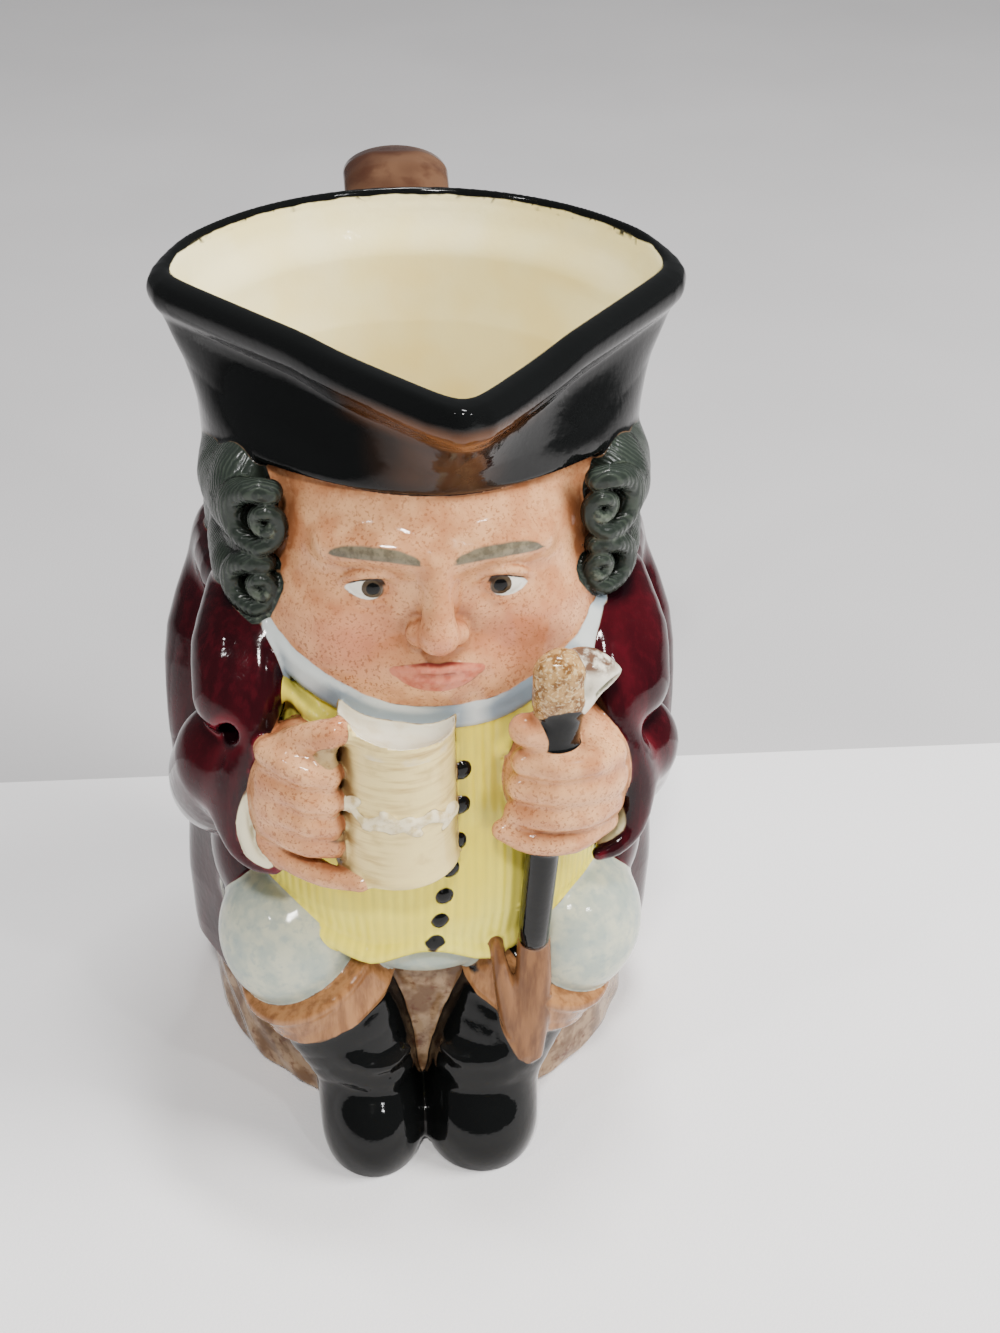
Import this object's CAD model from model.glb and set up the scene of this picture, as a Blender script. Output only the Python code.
from math import cos, degrees, pi, radians, sin

import bpy
import numpy as np
from mathutils import Euler, Matrix, Vector


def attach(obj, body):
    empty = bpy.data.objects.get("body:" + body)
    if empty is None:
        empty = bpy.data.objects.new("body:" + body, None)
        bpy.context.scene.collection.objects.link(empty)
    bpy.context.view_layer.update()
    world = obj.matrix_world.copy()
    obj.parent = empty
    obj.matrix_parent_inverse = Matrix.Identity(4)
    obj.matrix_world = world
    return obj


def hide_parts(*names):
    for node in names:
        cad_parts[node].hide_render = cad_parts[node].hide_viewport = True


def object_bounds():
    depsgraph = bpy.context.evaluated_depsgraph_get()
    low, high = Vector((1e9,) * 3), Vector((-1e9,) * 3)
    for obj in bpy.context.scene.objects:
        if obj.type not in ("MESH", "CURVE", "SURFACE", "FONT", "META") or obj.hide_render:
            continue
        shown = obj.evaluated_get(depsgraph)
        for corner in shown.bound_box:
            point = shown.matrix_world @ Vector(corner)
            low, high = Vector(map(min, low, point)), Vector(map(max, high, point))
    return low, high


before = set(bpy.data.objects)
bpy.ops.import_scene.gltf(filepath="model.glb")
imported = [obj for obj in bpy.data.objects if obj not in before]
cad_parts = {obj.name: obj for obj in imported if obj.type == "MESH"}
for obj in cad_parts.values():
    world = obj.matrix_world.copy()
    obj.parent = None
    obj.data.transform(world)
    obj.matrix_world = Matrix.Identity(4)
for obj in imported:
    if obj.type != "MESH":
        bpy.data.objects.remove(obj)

CAD_BOX = [list(map(float, corner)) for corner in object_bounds()]

# The jug is sculpted as one field of signed distances, in millimetres from the middle of its round seat, with
# +Z up and the figure facing -Y. The field is then turned into a mesh, and painted by which form lies nearest.
MM = 0.001
DEPTH_SHIFT = -4.897  # from the seat's middle to the middle of the whole outline
VOXEL = 0.62
FACES = 196000
FAR = 20.0  # further from a form than its box is ever looked at
PAINT_REACH = 3.0  # how far into its own colour a point is told apart

SEAT_RADIUS = 43.0
RIM_HEIGHT = 161.5
FLOOR_THICKNESS = 5.0
# the hat's straight sides: how far each is from the axis and where it faces
HAT_SIDES = ((38.3, radians(51.8)), (35.7, radians(-46.6)))
HAT_BACK_RADIUS = 48.0
HAT_BACK_CENTRE = -11.5
LIP = 4.4
CHIN = 101.0
FACE_THIRD = 14.7
FACE_FRONT = -48.5
MOUTH = CHIN + FACE_THIRD * 0.64
NOSE = CHIN + FACE_THIRD
BROW = NOSE + FACE_THIRD
EYES = BROW - FACE_THIRD * 0.36
EYE_APART = 10.4
FEET_MIDDLE = -2.3
HANDLE_X = -1.5
HANDLE_REACH = 66.0
LOCKS = 9
CARVE_MARGIN = 3.0
FLOOR_EDGE = 0.066  # metres behind the jug's middle

forms = []
cuts = []  # what the next carve_here takes out
carved = []  # the last form that each cut goes through, the cut and how soft its edge is
later = []  # what is added to both sides after the head is carved


# ---- Distances ----

def smooth_min(a, b, k):
    if k <= 0:
        return np.minimum(a, b)
    h = np.maximum(k - np.abs(a - b), 0) / k
    return np.minimum(a, b) - h * h * k * 0.25


def smooth_max(a, b, k):
    return -smooth_min(-a, -b, k)


def step_between(value, low, high):
    t = np.clip((value - low) / (high - low), 0, 1)
    return t * t * (3 - 2 * t)


class Form:
    """A distance function with the box that it matters in, its paint and how softly it joins the rest."""

    def __init__(self, paint, distance, low, high, blend):
        self.paint = paint
        self.distance = distance
        self.low = np.array(low, float)
        self.high = np.array(high, float)
        self.blend = blend

    def near(self, x, y, z, margin):
        """The indices of the points that lie in the form's box, grown by a margin."""
        low, high = self.low - margin, self.high + margin
        inside = (x > low[0]) & (x < high[0]) & (y > low[1]) & (y < high[1])
        return np.nonzero(inside & (z > low[2]) & (z < high[2]))[0]


def egg_form(paint, centre, radii, turn=(0, 0, 0), blend=1.0):
    rows = np.array(Euler([radians(a) for a in turn]).to_matrix().transposed())
    reach = np.sqrt(((rows * np.array(radii)[:, None]) ** 2).sum(0))

    def distance(x, y, z):
        p = (x - centre[0], y - centre[1], z - centre[2])
        near = far = 0
        for row, radius in zip(rows, radii):
            along = (row[0] * p[0] + row[1] * p[1] + row[2] * p[2]) / radius
            near = near + along ** 2
            far = far + (along / radius) ** 2
        near = np.sqrt(near)
        return near * (near - 1) / (np.sqrt(far) + 1e-9)

    return Form(paint, distance, np.array(centre) - reach, np.array(centre) + reach, blend)


def egg(*shape, **manner):
    forms.append(egg_form(*shape, **manner))


def cut_egg(centre, radii, turn=(0, 0, 0), soft=1.0):
    cuts.append((egg_form("", centre, radii, turn), soft))


def curve(points, steps):
    """Points along a smooth curve through the given ones."""
    p = np.array(points, float)
    p = np.vstack([2 * p[0] - p[1], p, 2 * p[-1] - p[-2]])
    out = []
    spans = len(p) - 3
    for s in np.linspace(0, spans, steps + 1):
        i = min(int(s), spans - 1)
        t = s - i
        a, b, c, d = p[i:i + 4]
        out.append(0.5 * (2 * b + (c - a) * t + (2 * a - 5 * b + 4 * c - d) * t ** 2
                          + (3 * b - a - 3 * c + d) * t ** 3))
    return np.array(out)


def limb(paint, points, sizes, across=None, steps=None, blend=1.0, flat_end=None):
    """A round-ended form along a smooth curve. sizes are radii, or pairs of half width and half thickness;
    across is the way that widths are measured; flat_end is a plane's normal, offset and edge radius."""
    steps = steps or 3 * (len(points) - 1)
    path = curve(points, steps)
    pairs = np.array([(s, s) if np.isscalar(s) else s for s in sizes], float)
    at = np.linspace(0, len(pairs) - 1, steps + 1)
    size = np.stack([np.interp(at, range(len(pairs)), pairs[:, i]) for i in (0, 1)], 1)

    def distance(x, y, z):
        best = None
        for a, b, (wa, ta), (wb, tb) in zip(path, path[1:], size, size[1:]):
            line = b - a
            px, py, pz = x - a[0], y - a[1], z - a[2]
            t = np.clip((px * line[0] + py * line[1] + pz * line[2]) / (line @ line + 1e-9), 0, 1)
            px, py, pz = px - t * line[0], py - t * line[1], pz - t * line[2]
            square = px * px + py * py + pz * pz
            wide, thick = wa + t * (wb - wa), ta + t * (tb - ta)
            if across is None:
                d = np.sqrt(square) - thick
            else:
                side = np.array(across, float)
                side -= line * (side @ line) / (line @ line + 1e-9)
                side /= np.linalg.norm(side)
                w = (px * side[0] + py * side[1] + pz * side[2]) ** 2
                rest = np.maximum(square - w, 0)
                near = np.sqrt(w / wide ** 2 + rest / thick ** 2)
                far = np.sqrt(w / wide ** 4 + rest / thick ** 4) + 1e-9
                d = near * (near - 1) / far
            best = d if best is None else np.minimum(best, d)
        if flat_end is not None:
            normal, offset, edge = flat_end
            best = smooth_max(best, normal[0] * x + normal[1] * y + normal[2] * z - offset, edge)
        return best

    reach = size.max()
    forms.append(Form(paint, distance, path.min(0) - reach, path.max(0) + reach, blend))
    return forms[-1]


def around(x, y):
    """The angle from the front, positive towards +X, and the distance from the axis."""
    return np.arctan2(x, -y), np.hypot(x, y)


def oval(angle, half, front, back):
    along = np.where(np.cos(angle) > 0, front, back)
    return 1 / np.hypot(np.sin(angle) / half, np.cos(angle) / along)


def tricorn(angle, grown):
    """The hat's outline from above: two straight sides with a rounded tip in front, and a round back."""
    right, left = (((reach + grown) / np.maximum(np.cos(angle - facing), 0.05)) for reach,
                   facing in HAT_SIDES)
    front = (left ** -16.0 + right ** -16.0) ** (-1 / 16.0)
    centre = HAT_BACK_CENTRE * np.cos(angle)
    back = -centre + np.sqrt(centre ** 2 - HAT_BACK_CENTRE ** 2 + (HAT_BACK_RADIUS + grown) ** 2)
    return (front ** -26.0 + back ** -26.0) ** (-1 / 26.0)


def profile(table, z):
    """Half width, front and back at a height, from rows of (height, half width, front, back)."""
    return (np.interp(z, table[:, 0], table[:, i]) for i in (1, 2, 3))


def turned(paint, rows, shape=None, low=None, high=None, soft=1.0, blend=1.0, slope=0.97):
    """A form around the axis. rows are a profile; shape changes the radius; low and high are its ends, plain
    heights or functions of the angle."""
    table = np.array(rows, float)
    low = table[0, 0] if low is None else low
    high = table[-1, 0] if high is None else high

    def distance(x, y, z):
        angle, r = around(x, y)
        radius = oval(angle, *profile(table, z))
        if shape is not None:
            radius = shape(angle, z, radius)
        d = (r - radius) * slope
        top = high(angle) if callable(high) else high
        bottom = low(angle) if callable(low) else low
        return smooth_max(smooth_max(d, z - top, soft), bottom - z, soft)

    widest = table[:, 1:].max() + 6
    bottom = table[0, 0] - 5
    top = table[-1, 0] + 5
    forms.append(Form(paint, distance, (-widest, -widest, bottom), (widest, widest, top), blend))


# ---- The forms ----

def both(make):
    for side in (-1, 1):
        make(side, lambda x, y, z: (side * x, y, z))


def sculpt_seat():
    def bark(angle, z, radius):
        return radius + 0.35 * np.sin(23 * angle + 0.35 * z) * np.sin(0.31 * z + 3 * angle)

    turned("seat", [(0, 42, 42, 42), (1.2, 42.8, 42.8, 42.8), (4, 43.1, 43, 43.1), (22, 43.7, 43, 43.5),
                    (48, 43, 42.5, 43)], shape=bark, soft=2, blend=0.8)


def sculpt_coat():
    folds = 9

    def skirt(angle, z, radius):
        swing = step_between(66 - z, 0, 30)
        pleat = 1.1 * np.cos(folds * angle) * swing + 0.35 * np.cos(2 * folds * angle + 1) * swing
        behind = step_between(np.abs(angle), radians(54), radians(63))
        front = step_between(z, 58, 66)
        return 37 + (radius + pleat - 37) * np.maximum(behind, front)

    turned("coat", [(14, 45, 40, 45.2), (24, 45.9, 40, 46), (36, 46.3, 40, 46.2), (50, 46, 40, 45.8),
                    (62, 45.6, 40, 45), (76, 44.4, 40, 44.2), (90, 43, 40, 43), (100, 41, 39, 41.4),
                    (106, 39.2, 38, 39.8), (112, 36.5, 37, 37.5)], shape=skirt,
           low=lambda angle: 17.5 + 1.3 * np.cos(folds * angle), soft=1.6, blend=0.6)
    # the collar, turned down behind
    angles = np.radians(np.linspace(56, 304, 15))
    ring = [(39 * sin(a), -39 * cos(a), 107.4 + 1.2 * cos(a)) for a in angles]
    limb("coat", ring, [(4.8, 3)] * 15, across=(0, 0, 1), steps=28, blend=2.2)

    def sleeve(side, at):
        limb("coat", [at(33, 4, 104), at(38.4, -3, 90), at(39.8, -7, 76), at(39.2, -10, 66)],
             [9.5, 9.6, 9, 8.6], blend=3)
        # the chest, and the forearm that comes forward from under it to the hand
        limb("coat", [at(31.6, -25, 112), at(33.2, -33, 106), at(33.4, -38, 100)], [7.2, 8.2, 8], blend=1.4)
        egg("coat", at(33.4, -24, 86), (6.4, 12, 15), blend=1.5)
        egg("coat", at(35.2, -21, 55), (6.2, 12, 13), blend=1.5)
        slim = {-1: 0, 1: 1.3}[side]
        thick = [9.2, 10.8 - slim, 11.2 - slim, 10.8 - slim]
        limb("coat", [at(38.6 - slim, -11, 67), at(37.4 - slim, -22, 70), at(36.2 - slim, -30, 77),
                      at(34.8, -36.4, 85)], thick, blend=1.2, steps=12)
        # the coat's edge, from the collar down to the cuff's curled tip
        limb("coat", [at(28.8, -36, 111.6), at(28.8, -41.4, 106.4), at(30.2, -44.4, 101),
                      at(31.4, -46.2, 96), at(33.8, -47, 90), at(35.2, -47, 83.6), at(35.4, -47.2, 78),
                      at(34.2, -48.2, 74.2), at(31.6, -50.2, 72.2), at(28.6, -51.6, 71.8)],
             [1.8, 2.2, 2.6, 2.8, 3, 3, 2.8, 2.4, 1.8, 1.3], blend=5, steps=27)
        if side < 0:
            cut_egg(at(35, -44, 96.8), (1.5, 5, 2.2), (0, side * -25, 0), soft=1.6)

    both(sleeve)
    # the vent behind, two waist buttons and their pleats
    limb("coat", [(0, 41.3, 99), (0, 43.8, 78), (0, 45, 60), (0, 45.8, 40), (0, 45.6, 20)],
         [0.8, 1, 1.2, 1.4, 1.5], blend=2)
    for side in (-1, 1):
        egg("coat", (side * 13, 42.6, 70), (2.1, 1.6, 2.1), blend=0.3)
        limb("coat", [(side * 14, 42.4, 66), (side * 17, 42.6, 44), (side * 19, 41.8, 20)], [0.7, 1.5, 1.9],
             blend=2.5)


def squarish(half, front, n):
    """A front with squared shoulders, which falls away before the sides."""
    def shape(angle, z, radius):
        wide, deep = np.interp(z, *half), np.interp(z, *front)
        across, along = np.abs(np.sin(angle)) / wide, np.maximum(np.cos(angle), 0.02) / deep
        reach = np.minimum((across ** n + along ** n) ** (-1 / n), 60)
        return 10 + (reach - 10) * step_between(np.abs(angle), radians(52), radians(40))

    return shape


# each button's place across and its height
BUTTONS = [(4.2, 90), (4, 83), (3.4, 75.5), (2.2, 69.6), (1.2, 63.4), (0.5, 57.4), (-0.4, 51.4)]
FRONT_MIDDLE = -1.4


def sculpt_waistcoat():
    heights = [44, 50, 58, 66, 78, 90, 100, 110]
    fronts = [47.4, 49.4, 51.2, 51.6, 51, 49.8, 48.6, 45.4]
    shape = squarish((heights, [33, 35, 36.6, 37, 37, 37, 36.6, 35]), (heights, fronts), 2.6)

    def low(angle):
        x = 48 * np.sin(angle) - FRONT_MIDDLE
        return 45.2 + 2.6 * np.exp(-(x / 4.2) ** 2) + 0.02 * np.maximum(np.abs(x) - 10, 0) ** 2

    turned("vest", [(h, 37, f, 20) for h, f in zip(heights, fronts)], shape=shape, low=low, soft=1.2,
           blend=0.8)
    x = FRONT_MIDDLE
    for side in (-1, 1):
        limb("vest", [(x + side * 24, -42.4, 53), (x + side * 17, -46.4, 49.4),
                      (x + side * 10.6, -48.7, 47.4), (x + side * 5, -49.2, 49.2), (x, -49.2, 50.8)],
             [1, 1.3, 1.5, 1.3, 1], blend=2.6)
        limb("vest", [(side * 26, -41.6, 104), (side * 20, -45.6, 98.5), (side * 12, -48.6, 93.5)],
             [0.9, 1.3, 0.8], blend=2.4)
    egg("breech", (FRONT_MIDDLE, -39.5, 44.5), (14, 8.2, 6.5), blend=0.8)
    for x, z in BUTTONS:
        y = -float(np.interp(z, heights, fronts)) * (1 - 0.35 * (abs(x) / 37) ** 2.6)
        egg("button", (x, y + 0.15, z), (1.5, 1, 1.95), turn=(0, 20, 0), blend=0.25)


def mirrored(half):
    """Points from one side to the middle, and on to the other side."""
    return half + [(-x, y, z) for x, y, z in half[-2::-1]]


def on_face(level, *offsets):
    """Points given from the face's front and one of its heights."""
    return [(x, FACE_FRONT + y, level + z) for x, y, z in offsets]


def sculpt_head():
    def base(angle, z, radius):
        return radius - 14 * step_between(np.abs(angle), radians(64), radians(76))

    turned("skin", [(98, 38, 40, 38), (104, 37, 42, 38), (112, 36.5, 42.6, 38), (130, 36, 42, 36),
                    (143, 37.5, 41, 36)], shape=base, soft=2, blend=1)
    egg("skin", (0, -21, 125), (28.5, 27, 27), blend=1)
    # jaw and chin
    limb("skin", mirrored([(-23, -31, 118), (-19, -36.5, 110.6), (-10, -41.4, 106.6), (0, -42.6, 106)]),
         [6, 7, 7, 7, 7, 7, 6], steps=18, blend=4)
    egg("skin", (0, FACE_FRONT + 4, CHIN + 5.4), (6.4, 4.8, 4), blend=3.5)

    def cheek(side, at):
        egg("skin", at(13.4, FACE_FRONT + 12.4, NOSE + 0.5), (10.5, 10.2, 9.6), blend=5)

    both(cheek)
    limb("skin", mirrored(on_face(BROW, (-17, 7.6, 0.2), (-9.5, 3, 1.4), (0, 2.4, 0.4))),
         [2, 2.5, 2, 2.5, 2], blend=3.5)

    def socket(side, at):
        cut_egg(at(EYE_APART, FACE_FRONT - 1.8, EYES + 0.2), (6.4, 4.6, 4.1), (0, 0, side * 14), soft=2.4)

    both(socket)

    def eye(side, at):
        def by(*offset):
            (x, y, z), = on_face(EYES, offset)
            return at(EYE_APART + x, y, z)

        egg("eye", by(0, 6, 0), (4.7, 4.4, 3.6), turn=(0, 0, side * 12), blend=0.3)
        limb("skin", [by(5.4, 5.4, -0.4), by(3, 3, 2.2), by(0, 2.1, 3.1), by(-2.8, 2.5, 2.3),
                      by(-5.2, 4, -0.6)], [0.6, 0.9, 1, 0.9, 0.6], blend=0.6)
        limb("skin", [by(5.2, 5.2, -0.8), by(0, 2.6, -3), by(-5, 4, -0.8)], [0.5, 0.8, 0.5], blend=0.7)

    later.append(eye)
    bridge = on_face(BROW, (0, 1.4, -1), (0, -0.6, -6)) + on_face(NOSE, (0, -2.8, 3.6))
    limb("skin", bridge, [(2.3, 2.3), (2.4, 2.6), (3, 3)], across=(1, 0, 0), blend=2.6)
    egg("skin", (0, FACE_FRONT - 2.6, NOSE + 2.6), (3.2, 3, 2.8), blend=1.8)

    def nostril(side, at):
        egg("skin", at(3.3, FACE_FRONT - 0.2, NOSE + 2), (1.9, 2.4, 1.9), turn=(0, 0, side * 20), blend=1.5)
        cut_egg(at(1.9, FACE_FRONT - 1.6, NOSE - 0.3), (0.9, 1.3, 0.6), soft=0.6)

    both(nostril)
    egg("skin", (0, FACE_FRONT + 3.2, MOUTH + 0.4), (10, 4.6, 5.2), blend=3.5)
    # calm closed lips
    upper = on_face(MOUTH, (-7, -0.2, 0.4), (-4.4, -1.3, 0.8), (-1.8, -1.8, 1.2), (0, -1.8, 0.9))
    limb("lip", mirrored(upper), [0.3, 0.65, 0.8, 0.75, 0.8, 0.65, 0.3], blend=0.9)
    lower = on_face(MOUTH, (-6.4, -0.3, 0.1), (-3.6, -1.2, -0.8), (0, -1.7, -1.1))
    limb("lip", mirrored(lower), [0.3, 0.8, 0.95, 0.8, 0.3], blend=0.9)


def hair_sway(z):
    return 0.9 * np.sin((z - 104) * 0.2)


# each roll's middle at the front, how far its spiral reaches and the roll's own radius
CURLS = {-1: [(-26.9, 131.8, 6.6, 8), (-28.1, 119.4, 5.6, 7)],
         1: [(27.6, 132.8, 6.4, 7.8), (27.6, 121.4, 5.4, 6.8)]}


def spiral(side, x, z, reach):
    """The curl that shows at a roll's front end, winding in and forward."""
    count = 30
    points, radii = [], []
    for i in range(count + 1):
        share = i / count
        turn = 2 * pi * (0.16 + 1.75 * share)
        r = reach * (1 - 0.92 * share ** 0.85)
        out = -r * cos(turn)
        deep = -35.6 + 0.62 * max(out, 0) + 0.1 * max(-out, 0) - 1.4 * share
        points.append((x + side * (0.85 * out + 2.6 * r / reach), deep, z + r * sin(turn)))
        radii.append(2.15 - 1.1 * share)
    return limb("hair", points, radii, steps=count, blend=0.6)


def sculpt_hair():
    def wavy(angle, z, radius):
        sway = hair_sway(z)
        lock = 1 - np.abs(np.sin(0.5 * (LOCKS * angle + sway + 0.6)))
        fine = 0.25 * np.cos(3 * LOCKS * angle + 3 * sway)
        behind = step_between(np.abs(angle), radians(56), radians(68))
        return 22 + (radius - 1.6 + 3.0 * np.sqrt(lock + 0.02) + fine - 22) * behind

    turned("hair", [(99, 37, 37, 38), (110, 38, 38, 39), (118, 38.2, 38, 38.8), (128, 38, 38, 37.6),
                    (138, 37, 36, 36)], shape=wavy, soft=3, blend=1, slope=0.9)
    # two rolls of hair on each side, lying front to back
    for side in (-1, 1):
        for x, z, reach, big in CURLS[side]:
            roll = limb("hair", [(x + side * 3.2, -25.8, z - 0.4), (side * 31.2, -18, z + 0.2),
                                 (side * 30.8, -5, z + 0.6), (side * 29, 8, z)],
                        [big - 0.8, big, big - 0.4, big - 1.5], blend=1.1)
            roll.curl = (x, z)
            spiral(side, x, z, reach).curl = ()
        # the locks that come down from under the hat
        egg("hair", (side * 29.6, -23, 135), (5.8, 10.5, 6.4), turn=(0, side * 10, side * 20), blend=3)
        egg("hair", (side * 30.6, -25, 125.4), (4.4, 7, 4.6), blend=1.5)


def hat_front(angle):
    """1 in front, where the hat's roll is thick, and 0 behind, where the rim is thin."""
    return step_between(np.cos(angle), -0.35, 0.05)


def sculpt_hat():
    def shape(angle, z, radius):
        share = step_between(z, 138, 156)
        grown = np.interp(z, [137, 146, 152, 156, 163], [-3.2, -3, -2, -0.9, -0.6])
        return radius * (1 - share) + tricorn(angle, grown) * share

    def low(angle):
        return 133 + 7.4 * step_between(np.cos(angle), 0, 0.9)

    turned("hat", [(131, 38.8, 42.6, 37.2), (140, 39.4, 43.8, 37.6), (146, 40.4, 45, 37.2),
                   (155, 43, 47, 37)], shape=shape, low=low, high=160, soft=1.4, blend=0.5, slope=0.9)
    lip, thick = [], []
    for a in np.linspace(-pi, pi, 97):
        front = hat_front(a)
        size = 1.3 + 2.0 * front
        r = float(tricorn(np.array(a), 0.7 * front - size))
        dip = 1.6 * step_between(cos(a), 0.75, 1)
        lip.append((r * sin(a), -r * cos(a), 161.3 - size - dip + 0.8 * (1 - front)))
        thick.append(size)
    limb("hat", lip, thick, steps=96, blend=1.8)


def sculpt_cravat():
    ring = [(-28.4, -33.4, 112.4), (-24, -40.4, 108), (-16, -45.2, 103.6), (-7, -47, 101), (1, -47.4, 100.6),
            (9, -46.8, 101.4), (16, -44.6, 104), (23, -40.2, 108.4), (28, -33, 113.4)]
    limb("cravat", ring, [(3.4, 1.9)] * 9, across=(0, -0.5, 1), steps=24, blend=0.7)
    ridge = [(x * 1.01, y - 1.2, z - 1) for x, y, z in ring]
    limb("cravat", ridge, [0.9] * 9, steps=24, blend=1.2)
    limb("cravat", [(25.8, -36.5, 113), (24.6, -40.6, 108), (23.6, -43, 103.4)], [2.4, 2.5, 2], blend=1)


MUG = {"x": -7, "y": -50.2, "z": 73, "radius": 10.8, "height": 30.4}


def drink_top(mx, my):
    """How high the drink stands in the mug, whose rim is higher on one side."""
    return MUG["height"] + 0.03 * my - 0.14 * mx


def mug_point(p):
    """From the mug's own frame, its foot at the origin, to the jug's."""
    return MUG["x"] + p[0], MUG["y"] + p[1], MUG["z"] + p[2]


def in_mug(x, y, z):
    return x - MUG["x"], y - MUG["y"], z - MUG["z"]


def sculpt_mug():
    radius, height = MUG["radius"], MUG["height"]

    def distance(x, y, z):
        mx, my, mz = in_mug(x, y, z)
        r = np.hypot(mx, my)
        wall = radius + 0.3 - 0.03 * mz - 0.45 * (1 - np.exp(-((mz - 0.9) / 1.3) ** 2))
        wall = wall + 0.3 * np.exp(-((mz - height + 1.2) / 1.6) ** 2)
        wall = wall + 0.03 * np.sin(mz * 1.3 + 2 * np.sin(mz * 0.31))
        # the drink's slanting top, hollow in the middle
        dish = 3.2 * np.maximum(1 - (r / (radius - 0.8)) ** 4, 0)
        return smooth_max(smooth_max(r - wall, -mz, 0.9), (mz - drink_top(mx, my) + dish) * 0.9, 0.7)

    low = np.array([MUG["x"] - 13, MUG["y"] - 13, MUG["z"] - 3])
    forms.append(Form("mug", distance, low, low + np.array([26, 26, 44]), 0.5))
    # its own handle, under the hand
    grip = [(-9, -3.4, 28.4), (-11.4, -4.6, 28), (-12, -5, 22), (-11.8, -5, 9), (-8.6, -4, 3)]
    limb("grip", [mug_point(p) for p in grip], [1.4, 1.5, 1.7, 1.7, 1.4], blend=0.9)
    # a leafy spray in low relief round the front
    reach = radius - 0.3
    for i in range(11):
        a = radians(-62 + 12.5 * i)
        z = 14.2 + 1.5 * sin(i * 1.9) - 1.5 * sin(a)
        leaf = mug_point((reach * sin(a), -reach * cos(a), z))
        size = 1.2 + 0.4 * sin(i * 2.7)
        egg("relief", leaf, (size * 1.6, 0.6, size * 0.6), turn=(0, 32 * (-1) ** i, degrees(a)), blend=1)
    stem = []
    for a in np.radians(np.linspace(-68, 66, 9)):
        z = 14 + 1.1 * sin(4 * a) - 1.5 * sin(a)
        stem.append(mug_point((reach * sin(a), -reach * cos(a), z)))
    limb("relief", stem, [0.45] * 9, blend=0.8)


def sculpt_hands():
    # the right hand round the mug's handle
    egg("skin", (-24.8, -46.4, 86.6), (7.6, 9.4, 12.6), turn=(0, 10, -20), blend=0.6)
    limb("skin", [(-27.2, -48.6, 91), (-24.8, -51.4, 97.6), (-21, -53.6, 101.4), (-17.4, -55.4, 103.4)],
         [3.4, 3, 2.4, 2], blend=3)
    for z, reach in ((95.4, 0), (90.2, 0.4), (85, 0.2), (80.2, -0.4)):
        limb("skin", [(-28.6, -51, z + 1), (-25.4, -54, z + 0.8), (-22, -55.8 - reach, z),
                      (-18.8, -55.6 - reach, z - 0.8)], [2.4, 2.8, 2.7, 2.4], blend=1.7)
    limb("skin", [(-29.4, -48.5, 77), (-25.6, -52, 74.6), (-20, -56, 73.4), (-14, -59, 73.4)],
         [3.2, 2.8, 2.2, 1.4], blend=1.7)
    limb("shirt", [(-32.6, -48.6, 87), (-33.2, -49.4, 80), (-32, -50.4, 75), (-29.6, -51.6, 73)],
         [1.2, 1.6, 1.6, 1.1], blend=0.5)
    # the left hand round the crop
    egg("skin", (22.6, -47.4, 88), (11.4, 10.2, 12.8), turn=(0, 8, 8), blend=0.6)
    limb("skin", [(21.6, -50, 95.4), (17.4, -53.6, 99.4), (14.2, -55, 102)], [3.6, 3.1, 2.8], blend=1.6)
    for z, tip in ((95.4, 13.2), (90, 12.6), (84.6, 12.2)):
        limb("skin", [(29.6, -51.2, z - 1.6), (25.2, -55.2, z - 0.4), (19.4, -56.4, z),
                      (tip + 1.4, -54.8, z - 0.2)], [2.6, 2.9, 2.9, 2.6], blend=1.6)
    limb("skin", [(29, -50.4, 78.8), (23, -54.6, 78), (16, -55.8, 78.8), (10.8, -55.8, 81.4)],
         [2.8, 2.8, 2.5, 1.9], blend=1.5)
    limb("shirt", [(34, -46.2, 86), (34.2, -46.8, 80), (32.6, -48, 74.8), (29.4, -49.8, 72.4)],
         [1.2, 1.9, 2, 1.2], blend=0.5)


def sculpt_crop():
    limb("crop", [(20.4, -53.2, 106), (19.8, -53.2, 100), (18.6, -52.8, 78), (17.7, -51.2, 57),
                  (17.7, -50.6, 52.4)], [4.1, 4, 3, 2.9, 2.8], blend=0.6, steps=10)
    egg("burr", (19.7, -54, 110.8), (4.3, 4, 6.2), turn=(0, 4, 0), blend=0.6)
    for x, y, z, r in ((17.6, -55.4, 114, 2.2), (21.2, -55.8, 113.6, 2.2), (18.2, -56.2, 110, 2.3),
                       (21.4, -55.6, 108.4, 2.2), (17.6, -55, 106.8, 2)):
        egg("burr", (x, y, z), (r, r * 0.8, r), blend=2.4)
    axis = np.array((0.62, -0.62, -0.48))
    face = np.array((27.6, -54.4, 109.8))
    limb("horn", [(21.6, -53, 112), (24, -52.8, 112.6), (26.2, -53.4, 111.4), (28.8, -55.4, 108.8)],
         [3.5, 3.5, 3.6, 3.7], blend=0.8, flat_end=(axis, axis @ face, 0.8))
    egg("horn", (23.4, -53.4, 107.4), (2.4, 3, 3), turn=(0, 24, 0), blend=1.6)
    cut_egg(face, (2.3, 2.3, 2.3), soft=0.6)
    limb("thong", [(17.8, -50, 50.6), (17.8, -51, 43), (17.6, -51.2, 34), (17.3, -50.8, 22.6)],
         [(3.1, 2.2), (3.4, 2.3), (3.7, 2.2), (3, 1.8)], across=(1, 0, 0), blend=0.6)
    limb("thong", [(10.9, -49.6, 49.6), (11.9, -51, 44), (13.9, -51.6, 34), (16.4, -51.2, 24)],
         [(0.9, 1.3), (1.7, 1.9), (2.4, 2), (2.2, 1.8)], across=(1, 0, 0), blend=0.9)


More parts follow.
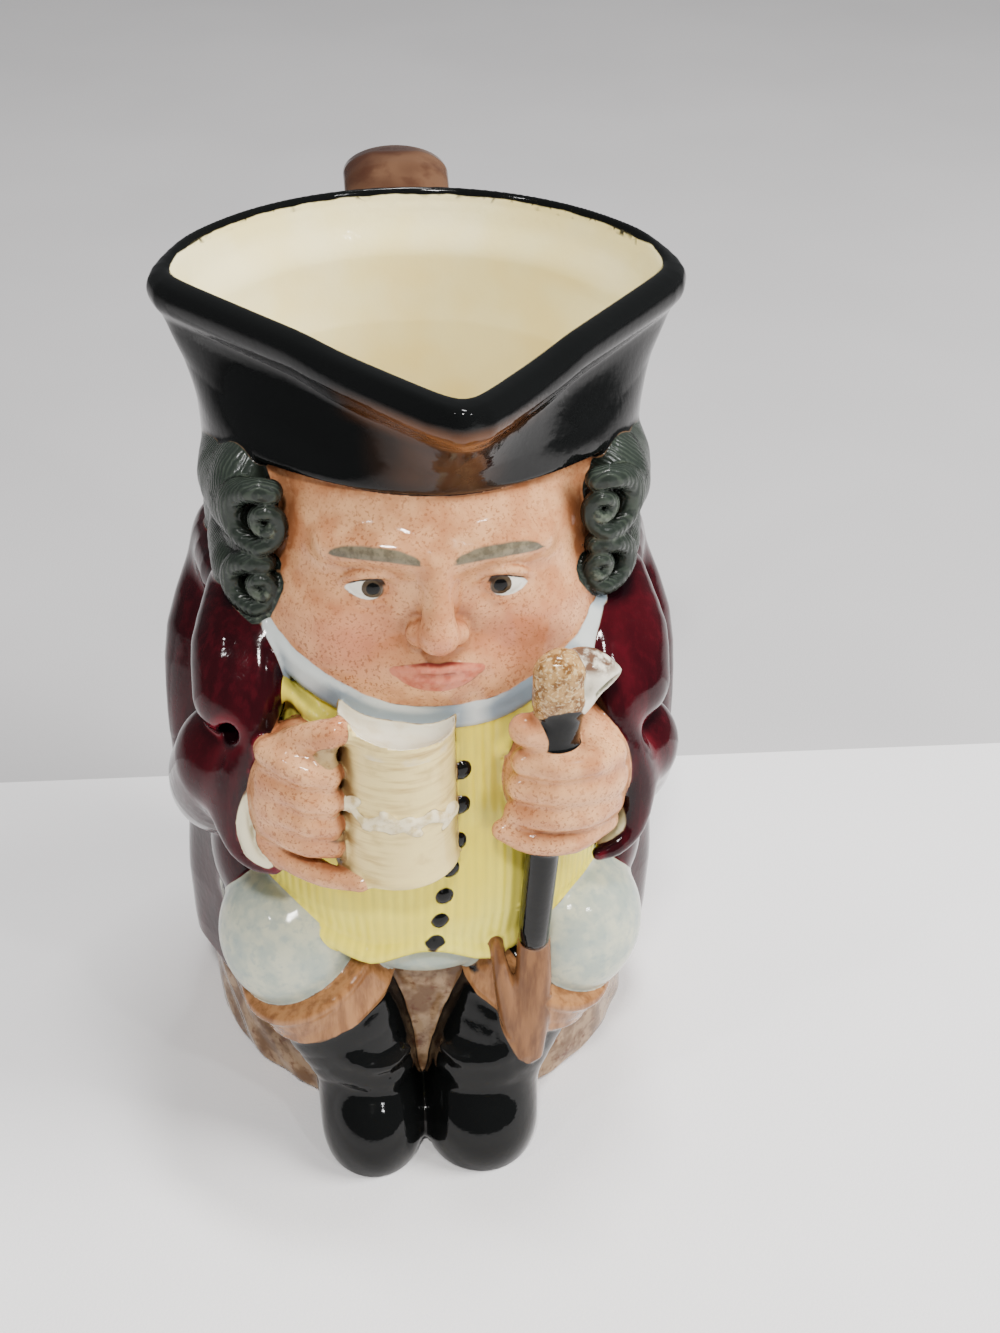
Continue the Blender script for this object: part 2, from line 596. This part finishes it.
def sculpt_leg(side, at):
    girth = {-1: 0.92, 1: 1.03}[side]

    def foot(x, y, z):
        return FEET_MIDDLE + side * x * girth, y, z

    limb("breech", [at(26, -32, 42), at(27.6, -22, 42), at(28, -10, 42)], [13, 12.4, 12], blend=1.5)
    egg("breech", at(25.8, -34.6, 42.4), (14.3, 15.2, 15.4), turn=(0, side * 24, 0), blend=1.5)
    # the boot's turned top, a broad band across the shin
    axis = np.array(Euler((radians(10), radians(side * 32), 0)).to_matrix() @ Vector((0, 0, 1)))
    centre = np.array((FEET_MIDDLE * 0.4 + side * 20.7, -37.2, 36.4))

    def band(x, y, z):
        px, py, pz = x - centre[0], y - centre[1], z - centre[2]
        along = px * axis[0] + py * axis[1] + pz * axis[2]
        r = np.sqrt(np.maximum(px * px + py * py + pz * pz - along ** 2, 0))
        wall = 15.1 + 0.3 * np.exp(-(along - 3.4) ** 2) + 0.3 * np.exp(-(along + 3.4) ** 2)
        return smooth_max(r - wall, np.abs(along) - 4.5, 1.2)

    forms.append(Form("cuff", band, centre - 18, centre + 18, 0.5))
    limb("boot", [foot(20.4, -36.5, 35), foot(16.2, -40, 27), foot(12.6, -43, 18), foot(11.2, -44, 11)],
         [13.2, 12.2, 10.8 * girth, 10.4 * girth], blend=1)
    limb("boot", [foot(11, -30, 3), foot(10.9, -42, 4.2), foot(10.8, -47.6, 5)],
         [(10.4 * girth, 12), (11.1 * girth, 14.2), (10.9 * girth, 12.9)], across=(1, 0, 0), blend=2.5)
    limb("boot", [foot(9.4, -43.5, 20), foot(10.8, -43.6, 30), foot(12.2, -43, 39)], [6, 4.4, 4], blend=2.5)
    for z, lift, size in ((24, 4, 0.7), (20, 2.6, 0.8)):
        limb("boot", [foot(21, -46, z + lift), foot(14.5, -52.4, z), foot(7.4, -52, z - 1.4),
                      foot(3.4, -49, z - 0.6)], [size * 0.5, size, size, size * 0.5], blend=3.4)


def sculpt_handle():
    x, y = HANDLE_X, HANDLE_REACH
    limb("handle", [(x, 33, 148), (x, 42, 155), (x, y - 12, 158), (x, y - 3, 150.5), (x, y, 134),
                    (x, y - 2, 108), (x, y - 8, 82), (x, 50, 62), (x, 40, 52)],
         [(9.6, 5), (10, 5), (10.2, 5), (9.6, 5), (8.8, 4.8), (8, 4.6), (7.4, 4.6), (7, 4.6), (7.4, 5)],
         across=(1, 0, 0), steps=26, blend=3)


def hollow(x, y, z):
    """The distance to the inner wall, negative in the open hollow."""
    table = np.array([(0, 37, 36, 37), (9, 37.8, 36.6, 37.8), (32, 39, 37.5, 39), (52, 39.5, 42.5, 39.5),
                      (76, 39.5, 44.5, 39), (104, 34.5, 37.4, 34.8), (122, 33.6, 37, 33),
                      (137, 33.4, 37, 31.5), (148, 36, 40, 31.8), (170, 37, 41, 32)])
    angle, r = around(x, y)
    share = step_between(z, 137, 156)
    lip = [-LIP + more for more in (-2.0, -1.2, -0.5, 0.2, 1.8)]
    grown = np.interp(z, [137, 150, 157, 160, 166], lip)
    thin = 2.4 * step_between(-np.cos(angle), -0.1, 0.5) * step_between(z, 150, 158)
    radius = oval(angle, *profile(table, z)) * (1 - share) + tricorn(angle, grown + thin) * share
    return smooth_max((r - radius) * 0.97, FLOOR_THICKNESS - z, 8.0)


# ---- From forms to a mesh ----

def add_object(name, data):
    obj = bpy.data.objects.new(name, data)
    bpy.context.scene.collection.objects.link(obj)
    return obj


def margin_of(form):
    """How far outside its box a form still shapes the surface."""
    return form.blend + 2.0


def field(x, y, z):
    """Joins every form at the given points; x, y and z are flat arrays."""
    total = np.full(x.shape, FAR)
    for form in forms:
        index = form.near(x, y, z, margin_of(form))
        if len(index):
            d = form.distance(x[index], y[index], z[index])
            total[index] = smooth_min(total[index], d, form.blend)
        for after, cutter, soft in carved:
            if after is form:
                carve(total, x, y, z, cutter, soft)
    return finish_field(total, x, y, z)


def carve(total, x, y, z, cutter, soft):
    index = cutter.near(x, y, z, CARVE_MARGIN)
    if len(index):
        total[index] = smooth_max(total[index], -cutter.distance(x[index], y[index], z[index]), soft)


def finish_field(total, x, y, z):
    total = smooth_max(total, -hollow(x, y, z), 1.2)
    total = smooth_max(total, -z, 0.5)
    r = np.hypot(x, y)
    recess = smooth_max(r - (SEAT_RADIUS - 7), z - 1.5, 0.6)
    return smooth_max(total, -recess, 0.6)


def carve_here():
    """Cuts what is in cuts out of everything so far."""
    for cutter, soft in cuts:
        carved.append((forms[-1], cutter, soft))
    cuts.clear()


def sculpt():
    sculpt_seat()
    sculpt_coat()
    carve_here()
    sculpt_head()
    carve_here()
    for make in later:
        both(make)
    sculpt_hair()
    sculpt_waistcoat()
    sculpt_cravat()
    both(sculpt_leg)
    sculpt_mug()
    sculpt_crop()
    carve_here()
    sculpt_hands()
    sculpt_hat()
    sculpt_handle()


def grid_field(origin, counts, step):
    """The same as field, over a whole grid, form by form within its own box."""
    axes = [(origin[i] + step * np.arange(counts[i])).astype(np.float32) for i in range(3)]
    total = np.full(counts, FAR, np.float32)

    def block(low, high):
        return tuple(slice(*np.searchsorted(axis, ends)) for axis, ends in zip(axes, zip(low, high)))

    def at(spans):
        return (axes[0][spans[0]][:, None, None], axes[1][spans[1]][None, :, None],
                axes[2][spans[2]][None, None, :])

    for form in forms:
        reach = margin_of(form)
        spans = block(form.low - reach, form.high + reach)
        if min(s.stop - s.start for s in spans) > 0:
            d = form.distance(*at(spans)).astype(np.float32)
            total[spans] = smooth_min(total[spans], d, form.blend)
        for after, cutter, soft in carved:
            if after is form:
                spans = block(cutter.low - CARVE_MARGIN, cutter.high + CARVE_MARGIN)
                total[spans] = smooth_max(total[spans], -cutter.distance(*at(spans)).astype(np.float32),
                                          soft)
    for k in range(0, counts[2], 16):
        spans = (slice(0, counts[0]), slice(0, counts[1]), slice(k, min(k + 16, counts[2])))
        total[spans] = finish_field(total[spans], *at(spans))
    return total


def surface_nets(values, origin, step):
    """One point in each cell that the surface crosses, and a face over each grid edge that it crosses."""
    inside = values < 0
    cells = tuple(n - 1 for n in values.shape)
    count = np.zeros(cells, np.uint8)
    corners = [(i, j, k) for i in (0, 1) for j in (0, 1) for k in (0, 1)]
    for i, j, k in corners:
        count += inside[i:i + cells[0], j:j + cells[1], k:k + cells[2]]
    active = (count > 0) & (count < 8)
    ids = np.full(cells, -1, np.int32)
    ids[active] = np.arange(active.sum())
    where = np.stack(np.nonzero(active), 1)
    total = np.zeros((len(where), 3))
    hits = np.zeros(len(where))
    corner_values = {c: values[tuple((where + c).T)] for c in corners}
    for a in corners:
        for axis in range(3):
            if a[axis]:
                continue
            b = tuple(1 if i == axis else a[i] for i in range(3))
            va, vb = corner_values[a], corner_values[b]
            cross = (va < 0) != (vb < 0)
            t = np.where(cross, va / np.where(cross, va - vb, 1), 0)
            point = np.array(a, float) + t[:, None] * (np.array(b) - np.array(a))
            total += np.where(cross[:, None], point, 0)
            hits += cross
    points = origin + (where + total / hits[:, None]) * step
    quads = []
    for axis in range(3):
        u, v = (axis + 1) % 3, (axis + 2) % 3
        at = np.stack(np.nonzero(np.diff(inside, axis=axis)), 1)
        last = np.array(values.shape) - 1
        at = at[(at[:, u] > 0) & (at[:, v] > 0) & (at[:, u] < last[u]) & (at[:, v] < last[v])]
        out = inside[tuple(at.T)]
        ring = []
        for du, dv in ((-1, -1), (0, -1), (0, 0), (-1, 0)):
            cell = at.copy()
            cell[:, u] += du
            cell[:, v] += dv
            ring.append(ids[tuple(cell.T)])
        quad = np.stack(ring, 1)
        quad[~out] = quad[~out][:, ::-1]
        quads.append(quad)
    return points, np.concatenate(quads)


def gradient(points, reach):
    parts = []
    for shift in np.eye(3) * reach:
        parts.append((field(*(points + shift).T) - field(*(points - shift).T)) / (2 * reach))
    return np.stack(parts, 1)


def settle(points, rounds=2):
    """Moves points onto the surface."""
    for _ in range(rounds):
        d = field(*points.T)
        slope = gradient(points, 0.15)
        size = np.maximum((slope ** 2).sum(1), 0.1)
        points = points - np.clip(d / size, -0.4, 0.4)[:, None] * slope
    return points


def build_mesh():
    low = np.array([-51.0, -64.0, -1.6])
    high = np.array([51.0, 74.0, 165.0])
    counts = tuple(int(n) for n in np.ceil((high - low) / VOXEL))
    values = grid_field(low, counts, VOXEL)
    points, quads = surface_nets(values, low, VOXEL)
    del values
    mesh = bpy.data.meshes.new("toby_jug_raw")
    mesh.vertices.add(len(points))
    mesh.vertices.foreach_set("co", points.astype(np.float32).ravel())
    mesh.loops.add(4 * len(quads))
    mesh.loops.foreach_set("vertex_index", quads.astype(np.int32).ravel())
    mesh.polygons.add(len(quads))
    mesh.polygons.foreach_set("loop_start", np.arange(0, 4 * len(quads), 4, dtype=np.int32))
    mesh.update(calc_edges=True)
    raw = add_object("toby_jug_raw", mesh)
    modifier = raw.modifiers.new("fewer", "DECIMATE")
    modifier.ratio = min(1.0, FACES / (2 * len(quads)))
    modifier.use_collapse_triangulate = True
    done = bpy.data.meshes.new_from_object(raw.evaluated_get(bpy.context.evaluated_depsgraph_get()))
    bpy.data.objects.remove(raw)
    bpy.data.meshes.remove(mesh)
    done.name = "toby_jug_glazed"
    return done


# ---- Paint: which form is nearest, and how far inside its own colour a point lies ----

def nearest_forms(x, y, z):
    """Each paint's distance, and the number that counts the engraved strands across the hair."""
    nearest = {}
    curl = np.full(len(x), FAR)
    locks = np.full(len(x), FAR)
    strand = np.zeros(len(x))
    for form in forms:
        index = form.near(x, y, z, 2 * PAINT_REACH)
        if not len(index):
            continue
        d = form.distance(x[index], y[index], z[index])
        best = nearest.setdefault(form.paint, np.full(len(x), FAR))
        best[index] = np.minimum(best[index], d)
        if form.paint == "hair":
            if hasattr(form, "curl"):
                closer = d < curl[index]
                curl[index] = np.minimum(curl[index], d)
                across = 1.4 * y[index]
                if form.curl:
                    middle_x, middle_z = form.curl
                    across = np.hypot((x[index] - middle_x) / 0.9, z[index] - middle_z)
                    across += np.maximum(y[index] + 30, 0)
                strand[index] = np.where(closer, across, strand[index])
            else:
                locks[index] = np.minimum(locks[index], d)
    angle, _ = around(x, y)
    return nearest, np.where(curl < locks, strand, 38 * (angle + hair_sway(z) / LOCKS))


def paint_attributes(points, normals):
    x, y, z = points.T
    nearest, strand = nearest_forms(x, y, z)
    names = sorted(nearest)
    stack = np.stack([nearest[n] for n in names])
    order = np.sort(stack, axis=0)
    out = {}
    for i, name in enumerate(names):
        rival = np.where(stack[i] <= order[0], order[1], order[0])
        out["is_" + name] = np.clip(rival - stack[i], -PAINT_REACH, PAINT_REACH)
    angle, r = around(x, y)
    low = np.abs(order[0]) - np.abs(hollow(x, y, z))
    thin_rim = tricorn(angle, -1.9 - 8 * hat_front(angle)) - r
    top = RIM_HEIGHT - 0.8 - z + 1.4 * hat_front(angle)
    inside = np.where(z > 154, np.minimum(np.maximum(low, thin_rim), top), low)
    out["is_inside"] = np.clip(inside, -PAINT_REACH, PAINT_REACH)
    mx, my, mz = in_mug(x, y, z)
    rim = MUG["radius"] - 1.0 - np.hypot(mx, my)
    drink = np.minimum(np.minimum(rim, mz - drink_top(mx, my) + 4), out["is_mug"] - 0.1)
    out["is_milk"] = np.clip(drink, -PAINT_REACH, PAINT_REACH)
    out["strand"] = strand
    out["rib"] = 34 * np.arctan2(x, -(y + 16))
    side = np.abs(x)
    arch = BROW + 2.0 - 0.03 * (side - 9.5) ** 2
    out["brow"] = np.abs(z - arch) - 1.25 * np.sqrt(np.maximum(1 - ((side - 10) / 7.6) ** 4, 0))
    out["pupil"] = np.hypot(side - EYE_APART, z - EYES - 0.2)
    out["lid"] = z - EYES
    cheeks = np.exp(-((side - 14.5) ** 2 + (z - NOSE + 1) ** 2) / 52)
    nose = 0.9 * np.exp(-(side ** 2 + (z - NOSE - 2) ** 2) / 14)
    out["blush"] = np.maximum(cheeks, nose) * ((y < -30) & (z > 100))
    # how closed in the surface is, near and further out, and how thin the form is under it
    for name, way, reach in (("crease", 1, 1.6), ("hollowed", 1, 5), ("thin", -1, 1.6)):
        out[name] = np.clip(1 - way * field(*(points + way * reach * normals).T) / reach, -1, 2)
    return out


def finished_mesh():
    mesh = build_mesh()
    count = len(mesh.vertices)
    points = np.empty(3 * count, np.float32)
    mesh.vertices.foreach_get("co", points)
    points = settle(points.reshape(-1, 3).astype(float))
    normals = gradient(points, 0.25)
    normals /= np.linalg.norm(normals, axis=1)[:, None] + 1e-9
    for name, values in paint_attributes(points, normals).items():
        layer = mesh.attributes.new(name, "FLOAT", "POINT")
        layer.data.foreach_set("value", values.astype(np.float32))
    placed = (points + (0, DEPTH_SHIFT, 0)) * MM
    low, high = np.array(CAD_BOX)
    placed = np.clip(placed, low, high)
    mesh.vertices.foreach_set("co", placed.astype(np.float32).ravel())
    mesh.polygons.foreach_set("use_smooth", [True] * len(mesh.polygons))
    mesh.normals_split_custom_set_from_vertices(normals.tolist())
    mesh.update()
    return mesh


# ---- Material ----

def srgb(*channels):
    """A colour for a socket from 8-bit channels."""
    shares = [c / 255 for c in channels]
    return (*[((c + 0.055) / 1.055) ** 2.4 if c > 0.04 else c / 12.92 for c in shares], 1.0)


class Graph:
    """Builds a material's nodes. Values are sockets, numbers or colours."""

    def __init__(self, name):
        self.material = bpy.data.materials.new(name)
        self.material.use_nodes = True
        self.nodes = self.material.node_tree.nodes
        self.links = self.material.node_tree.links
        self.nodes.clear()

    def put(self, value, socket):
        if isinstance(value, bpy.types.NodeSocket):
            self.links.new(value, socket)
        else:
            socket.default_value = value

    def node(self, kind, values=(), out=0, **settings):
        node = self.nodes.new(kind)
        for name, value in settings.items():
            setattr(node, name, value)
        for key, value in dict(values).items():
            self.put(value, node.inputs[key])
        return node.outputs[out]

    def math(self, operation, *values, clamp=False):
        return self.node("ShaderNodeMath", enumerate(values), operation=operation, use_clamp=clamp)

    def add(self, a, b):
        return self.math("ADD", a, b)

    def times(self, a, b):
        return self.math("MULTIPLY", a, b)

    def smooth(self, value, low, high, to_low=0.0, to_high=1.0):
        return self.node("ShaderNodeMapRange", {0: value, 1: low, 2: high, 3: to_low, 4: to_high},
                         interpolation_type="SMOOTHSTEP")

    def mix(self, amount, a, b):
        return self.node("ShaderNodeMix", {0: amount, 6: a, 7: b}, out=2, data_type="RGBA",
                         clamp_factor=True)

    def blend(self, amount, a, b):
        return self.node("ShaderNodeMix", {0: amount, 2: a, 3: b}, data_type="FLOAT", clamp_factor=True)

    def attribute(self, name):
        return self.node("ShaderNodeAttribute", out="Fac", attribute_name=name)

    def noise(self, vector, size, detail=3.0, rough=0.55):
        """Noise about 0.5 with features about size millimetres across."""
        return self.node("ShaderNodeTexNoise", {"Vector": vector, "Scale": 1 / size, "Detail": detail,
                                                "Roughness": rough})

    def shaded(self, inputs):
        """The material, once its surface is set."""
        shader = self.node("ShaderNodeBsdfPrincipled", inputs)
        self.links.new(shader, self.nodes.new("ShaderNodeOutputMaterial").inputs["Surface"])
        return self.material

    def stretched(self, vector, scale):
        return self.node("ShaderNodeVectorMath", {0: vector, 1: scale}, operation="MULTIPLY")


def glaze_material():
    g = Graph("painted_glaze")
    smooth, times = g.smooth, g.times
    place = g.node("ShaderNodeTexCoord", out="Object")
    mm = g.node("ShaderNodeVectorMath", {0: place, "Scale": 1000.0}, operation="SCALE")
    split = g.node("ShaderNodeSeparateXYZ", {0: mm}).node
    x, y, z = split.outputs
    side = g.math("ABSOLUTE", x)

    fine = g.noise(mm, 0.55, 2)
    small = g.noise(mm, 1.7, 3)
    middle = g.noise(mm, 5, 3)
    large = g.noise(mm, 17, 2)
    upright = g.noise(g.stretched(mm, (1, 1, 0.16)), 1.6, 3)
    level = g.noise(g.stretched(mm, (0.12, 0.12, 1)), 1.1, 3)
    crease = g.attribute("crease")
    hollowed = g.attribute("hollowed")
    thin = g.attribute("thin")
    wobble = times(g.add(middle, -0.5), 0.7)

    def over(base, amount, *channels):
        return g.mix(amount, base, srgb(*channels))

    def tones(noise, low, high, first, second):
        return g.mix(smooth(noise, low, high), srgb(*first), srgb(*second))

    def inside_of(name, soft=0.14, grow=0):
        return smooth(g.add(g.attribute("is_" + name), g.add(wobble, grow)), -soft, soft)

    # seat and handle: mottled browns
    bark = tones(middle, 0.38, 0.62, (108, 80, 56), (160, 132, 102))
    bark = over(bark, smooth(small, 0.5, 0.75), 98, 62, 42)
    handle = tones(large, 0.4, 0.6, (62, 38, 27), (96, 69, 51))
    handle = over(handle, times(smooth(middle, 0.45, 0.7), 0.6), 60, 34, 24)

    # coat: burgundy glaze, near black where it pools and redder where it is thin
    coat = tones(large, 0.35, 0.7, (36, 6, 11), (54, 9, 16))
    coat = over(coat, smooth(thin, 0.05, 0.6), 100, 18, 30)
    coat = over(coat, times(smooth(upright, 0.45, 0.7), 0.35), 76, 13, 23)
    coat = over(coat, smooth(hollowed, 0.25, 0.9), 22, 5, 9)

    # waistcoat: yellow, greener between the ribs
    rib = g.math("SINE", times(g.attribute("rib"), 2 * pi / 1.75))
    vest = tones(large, 0.35, 0.7, (246, 226, 62), (252, 238, 92))
    between = times(smooth(rib, 0.2, -1), smooth(middle, 0.3, 0.7, 0.1, 0.3))
    vest = over(vest, between, 198, 186, 82)
    vest = over(vest, times(smooth(hollowed, 0.3, 1), 0.7), 168, 158, 74)

    # skin: pink with a stippled brown wash in the creases
    blush = g.attribute("blush")
    skin = tones(middle, 0.3, 0.7, (192, 130, 88), (224, 168, 120))
    skin = over(skin, times(blush, 0.6), 200, 114, 84)
    wash = g.add(times(smooth(crease, 0.1, 0.9), 0.75), times(smooth(hollowed, 0.1, 1), 0.5))
    wash = g.math("MULTIPLY", wash, smooth(small, 0.25, 0.6, 0.5, 1), clamp=True)
    skin = over(skin, wash, 150, 92, 58)
    stipple = times(smooth(fine, 0.53, 0.66), smooth(large, 0.3, 0.7, 0.35, 0.85))
    skin = over(skin, stipple, 152, 94, 62)

    # hair: dark grey-green, engraved
    strand = g.math("SINE", times(g.add(g.attribute("strand"), times(small, 0.8)), 2 * pi / 0.85))
    cut = times(smooth(strand, -0.6, 1), smooth(middle, 0.3, 0.6))
    hair = g.mix(cut, srgb(38, 44, 39), srgb(54, 61, 53))
    hair = over(hair, times(smooth(thin, 0.1, 0.8), smooth(small, 0.4, 0.6)), 96, 104, 90)
    hair = over(hair, smooth(hollowed, 0.3, 0.9), 20, 24, 20)

    # hat: black, brown in front where the glaze breaks
    under = times(smooth(side, 20, 3), times(smooth(z, 150, 153.5), smooth(z, 157.5, 155)))
    front = times(smooth(side, 13, 3), times(smooth(z, 138.5, 145), smooth(z, 155, 149)))
    front = times(times(front, smooth(y, -38, -42)), smooth(large, 0.3, 0.7, 0.25, 1))
    hat = g.mix(front, srgb(12, 13, 13), srgb(62, 40, 26))
    hat = over(hat, times(under, smooth(y, -38, -42)), 96, 58, 30)

    cream = tones(large, 0.35, 0.65, (250, 234, 168), (253, 242, 190))
    black = g.mix(times(smooth(thin, 0.3, 0.9), 0.5), srgb(11, 12, 12), srgb(34, 30, 27))
    breech = tones(middle, 0.35, 0.65, (168, 178, 166), (198, 200, 176))
    breech = over(breech, times(smooth(small, 0.5, 0.7), 0.5), 148, 162, 160)
    tan = tones(upright, 0.35, 0.7, (166, 118, 76), (126, 84, 52))
    thong = tones(upright, 0.35, 0.7, (134, 92, 58), (100, 66, 42))
    cravat = tones(hollowed, 0.1, 0.8, (206, 212, 208), (136, 150, 160))
    shirt = tones(hollowed, 0.2, 0.9, (232, 224, 190), (160, 150, 110))
    rings = times(smooth(level, 0.42, 0.72), smooth(large, 0.3, 0.7))
    mug = g.mix(rings, srgb(240, 216, 146), srgb(184, 150, 86))
    mug = over(mug, times(smooth(middle, 0.5, 0.75), 0.5), 180, 150, 90)
    mug = over(mug, smooth(hollowed, 0.25, 0.9), 130, 100, 62)
    milk = tones(middle, 0.4, 0.7, (242, 234, 208), (226, 212, 176))
    relief = tones(small, 0.4, 0.7, (244, 230, 190), (206, 184, 130))
    grip = tones(small, 0.4, 0.7, (178, 150, 104), (138, 106, 66))
    burr = tones(small, 0.4, 0.62, (176, 138, 88), (118, 80, 44))
    burr = over(burr, times(smooth(fine, 0.5, 0.66), 0.7), 214, 188, 142)
    horn = tones(hollowed, 0.15, 0.7, (232, 224, 204), (140, 138, 116))
    horn = over(horn, times(smooth(z, 112.6, 114.4), smooth(small, 0.3, 0.6)), 104, 78, 62)
    lip = tones(small, 0.4, 0.7, (204, 126, 98), (184, 98, 76))
    lip = over(lip, smooth(crease, 0.05, 0.5), 112, 46, 38)
    white = tones(middle, 0.4, 0.7, (240, 236, 224), (228, 222, 206))

    colour = bark
    paints = dict(coat=coat, vest=vest, breech=breech, cuff=tan, boot=black, hair=hair, skin=skin, lip=lip,
                  eye=white, cravat=cravat, shirt=shirt, mug=mug, grip=grip, relief=relief, milk=milk,
                  crop=black, burr=burr, horn=horn, thong=thong, button=black, handle=handle, hat=hat,
                  inside=cream)
    for name, paint in paints.items():
        colour = g.mix(inside_of(name), colour, paint)

    # painted brows, pupils and lid lines
    skinny = inside_of("skin", grow=0.4)
    brow = times(smooth(g.attribute("brow"), 0.1, -0.35), smooth(y, -40, -42))
    brow_paint = tones(small, 0.4, 0.65, (74, 80, 68), (108, 108, 90))
    colour = g.mix(times(times(brow, skinny), 0.9), colour, brow_paint)
    eye = inside_of("eye", grow=0.1)
    pupil = g.attribute("pupil")
    colour = over(colour, times(eye, smooth(pupil, 2, 1.8)), 74, 62, 48)
    colour = over(colour, times(eye, smooth(pupil, 1.25, 1.05)), 10, 10, 10)
    line = smooth(g.math("ABSOLUTE", g.add(g.attribute("is_eye"), 0.12)), 0.42, 0.2)
    lid = times(line, smooth(g.attribute("lid"), 0.2, 1))
    colour = over(colour, lid, 58, 44, 34)

    def relief_of(name, wave, depth):
        return times(times(smooth(g.attribute("is_" + name), 0, 0.5), wave), depth)

    outside = smooth(g.attribute("is_inside"), 0.5, -0.5)
    height = times(outside, g.add(relief_of("hair", strand, 0.04), relief_of("vest", rib, 0.07)))
    height = g.add(height, times(small, 0.05))
    bump = g.node("ShaderNodeBump", {"Height": height, "Distance": 0.001, "Strength": 1.0})
    rough = g.blend(times(inside_of("hair"), 0.7), smooth(middle, 0.3, 0.8, 0.05, 0.13), 0.3)
    return g.shaded({"Base Color": colour, "Roughness": rough, "IOR": 1.45, "Specular IOR Level": 0.26,
                     "Normal": bump})


# ---- Stage, light and camera ----

def plain(name, colour, roughness):
    g = Graph(name)
    place = g.node("ShaderNodeTexCoord", out="Object")
    weave = g.noise(place, 0.0006, 2.0)
    soft = g.noise(place, 0.11, 2.0)
    shade = g.mix(g.smooth(soft, 0.3, 0.7), colour, tuple(c * 0.95 for c in colour[:3]) + (1,))
    bump = g.node("ShaderNodeBump", {"Height": weave, "Distance": 0.0002, "Strength": 0.4})
    return g.shaded({"Base Color": shade, "Roughness": roughness, "Normal": bump})


def stage():
    """A flat pale floor, and the darker cloth that lies on from its far edge."""
    for name, near, far, shade in (("floor_cloth", -1.5, FLOOR_EDGE, srgb(250, 248, 249)),
                                   ("backdrop_cloth", FLOOR_EDGE, 4.0, srgb(200, 198, 199))):
        mesh = bpy.data.meshes.new(name)
        mesh.from_pydata([(-3, near, 0), (3, near, 0), (3, far, 0), (-3, far, 0)], [], [(0, 1, 2, 3)])
        mesh.materials.append(plain(name, shade, 0.9))
        add_object(name, mesh)


def area_light(name, place, size, power, colour=(1, 1, 1), mirrored=True):
    """A rectangular light aimed at the jug. One that isn't mirrored doesn't show in the glaze."""
    data = bpy.data.lights.new(name, "AREA")
    data.shape = "RECTANGLE"
    data.size, data.size_y = size
    data.energy = power
    data.color = colour
    light = add_object(name, data)
    light.location = place
    light.rotation_euler = (Vector((0, 0, 0.08)) - Vector(place)).to_track_quat("-Z", "Y").to_euler()
    light.visible_glossy = mirrored


def lights():
    area_light("key", (-0.1, -0.66, 0.92), (0.1, 0.08), 8, (1, 0.98, 0.95))
    area_light("top", (0.08, 0.1, 1.1), (0.22, 0.1), 7)
    area_light("left_lamp", (-0.62, -0.5, 0.8), (0.05, 0.05), 1.2)
    area_light("right_lamp", (0.42, -0.62, 0.7), (0.05, 0.05), 1.2)
    area_light("soft_side", (0.62, -0.16, 0.62), (0.4, 0.4), 10.5, (1, 0.99, 0.97), mirrored=False)
    world = bpy.data.worlds.new("studio")
    bpy.context.scene.world = world
    world.use_nodes = True
    world.node_tree.nodes["Background"].inputs["Color"].default_value = (0.95, 0.97, 1.0, 1)
    world.node_tree.nodes["Background"].inputs["Strength"].default_value = 0.23


def camera():
    pitch, yaw, roll = 0.59662, 0.107445, 0.025073
    forward = Vector((sin(yaw) * cos(pitch), cos(yaw) * cos(pitch), -sin(pitch)))
    right = Vector((cos(yaw), -sin(yaw), 0))
    up = right.cross(forward)
    right, up = right * cos(roll) + up * sin(roll), up * cos(roll) - right * sin(roll)
    data = bpy.data.cameras.new("camera")
    data.sensor_fit = "VERTICAL"
    data.sensor_height = 36.0
    data.lens = 54.01
    matrix = Matrix((right, up, -forward)).transposed().to_4x4()
    matrix.translation = (-0.01913, -0.32269 + DEPTH_SHIFT * MM, 0.29772)
    bpy.context.scene.camera = add_object("camera", data)
    bpy.context.scene.camera.matrix_world = matrix


camera()
stage()
lights()
sculpt()
jug = add_object("toby_jug_glazed", finished_mesh())
jug.data.materials.append(glaze_material())
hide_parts("toby_jug")
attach(jug, "root")
